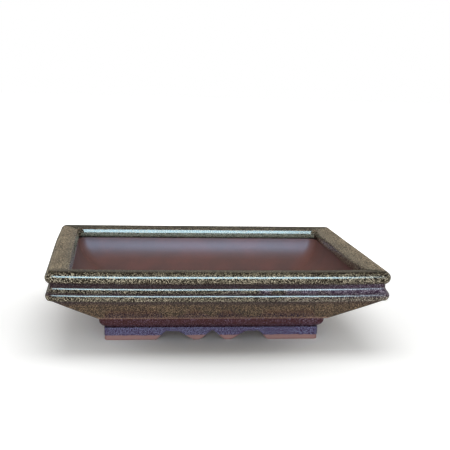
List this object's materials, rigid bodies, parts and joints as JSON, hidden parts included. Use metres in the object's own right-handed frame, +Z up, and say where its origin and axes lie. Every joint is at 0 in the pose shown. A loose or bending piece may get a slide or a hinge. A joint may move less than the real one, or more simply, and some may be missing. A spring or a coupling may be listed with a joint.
{
  "type": "bonsai pot",
  "caption": "Shallow rectangular glazed bonsai pot with a flanged rim, belly moulding, flared walls, drained floor and scalloped feet.",
  "frame": {"origin": "under the middle of the pot, on the surface that its feet stand on", "axes": "+X along the long side, +Y from the front to the back, +Z up"},
  "size_m": [0.254, 0.2032, 0.0635],
  "materials": {
    "tea_dust_glaze": "glossy dark tea-dust glaze with fine pale specks",
    "blue_violet_glaze": "glossy blue-violet glaze, speckled, over a dark red-brown ground",
    "bare_clay": "unglazed fired clay, satin"
  },
  "bodies": {
    "root": {"floor_slab": "bare_clay", "rim_front": "tea_dust_glaze", "belly_band_front": "tea_dust_glaze", "wall_front": "tea_dust_glaze", "plinth_front": "blue_violet_glaze", "foot_rail_front": "blue_violet_glaze", "rim_right": "tea_dust_glaze", "belly_band_right": "tea_dust_glaze", "wall_right": "tea_dust_glaze", "plinth_right": "blue_violet_glaze", "foot_rail_right": "blue_violet_glaze", "rim_back": "tea_dust_glaze", "belly_band_back": "tea_dust_glaze", "wall_back": "tea_dust_glaze", "plinth_back": "blue_violet_glaze", "foot_rail_back": "blue_violet_glaze", "rim_left": "tea_dust_glaze", "belly_band_left": "tea_dust_glaze", "wall_left": "tea_dust_glaze", "plinth_left": "blue_violet_glaze", "foot_rail_left": "blue_violet_glaze"}
  },
  "joints": []
}
